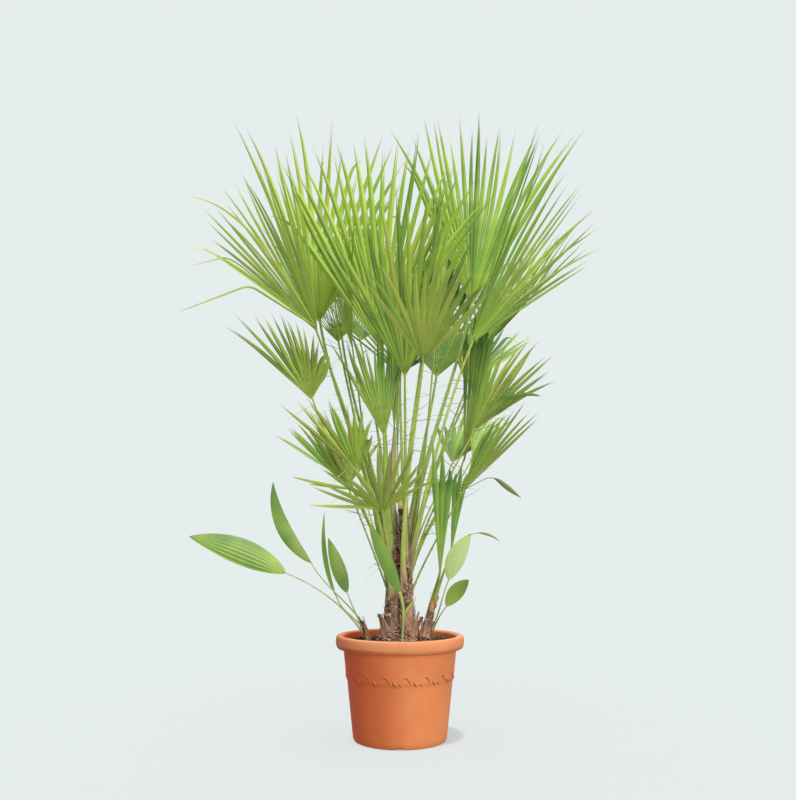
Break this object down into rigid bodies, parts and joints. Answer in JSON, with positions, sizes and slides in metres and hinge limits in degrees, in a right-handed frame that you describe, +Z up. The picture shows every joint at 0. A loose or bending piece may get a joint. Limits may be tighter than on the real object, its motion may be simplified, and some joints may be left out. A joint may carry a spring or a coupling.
{
  "type": "potted european fan palm",
  "caption": "Clumping fan palm with slender stems, pleated fan fronds on thin stalks and young strap leaves, standing in a round tapered terracotta-coloured pot filled with compost.",
  "frame": {"origin": "centre of the pot's flat underside", "axes": "+Z up along the pot's axis, +X to the right and -Y towards the front"},
  "size_m": [1.0952, 1.0049, 1.7053],
  "materials": {
    "pot": "matte terracotta colour, slightly mottled, with a low relief band",
    "compost": "moist dark potting compost with bark crumbs",
    "bark": "fibrous brown stems wrapped in the stubs of old leaf bases",
    "frond": "satin green pleated fan leaf, yellower at the base and on the stalk",
    "young_leaf": "satin green strap leaf with fine lengthwise veins"
  },
  "bodies": {
    "root": {"pot": "pot", "soil": "compost", "stem_pair": "bark", "stem_offset": "bark", "stem_sucker": "bark", "leaf_left_low": "young_leaf", "leaf_left_tall": "young_leaf", "leaf_left_edge": "young_leaf", "leaf_left_inner": "young_leaf", "leaf_front": "young_leaf", "leaf_right_pale": "young_leaf", "leaf_right_small": "young_leaf", "fan_front": "frond", "fan_crown": "frond", "fan_left_side": "frond", "fan_right_side": "frond", "fan_left_high": "frond", "fan_right_high": "frond", "fan_left_mid": "frond", "fan_right_mid": "frond", "fan_right_low": "frond", "fan_low_front": "frond", "fan_low_left": "frond", "fan_low_left_up": "frond", "fan_half_open": "frond", "fan_core": "frond", "fan_core_right": "frond", "fan_core_left": "frond", "fan_young_left": "frond", "fan_right_low_back": "frond", "fan_back_left": "frond", "fan_back_mid": "frond", "fan_back_right": "frond", "fan_back_low_left": "frond", "fan_back_low_mid": "frond", "fan_back_low_right": "frond", "fan_back_foot_left": "frond", "fan_back_foot_right": "frond", "fan_inner_left": "frond", "fan_inner_right": "frond", "fan_offset_broad": "frond", "fan_offset_narrow": "frond", "spear_left": "frond", "spear_right": "frond"}
  },
  "joints": []
}
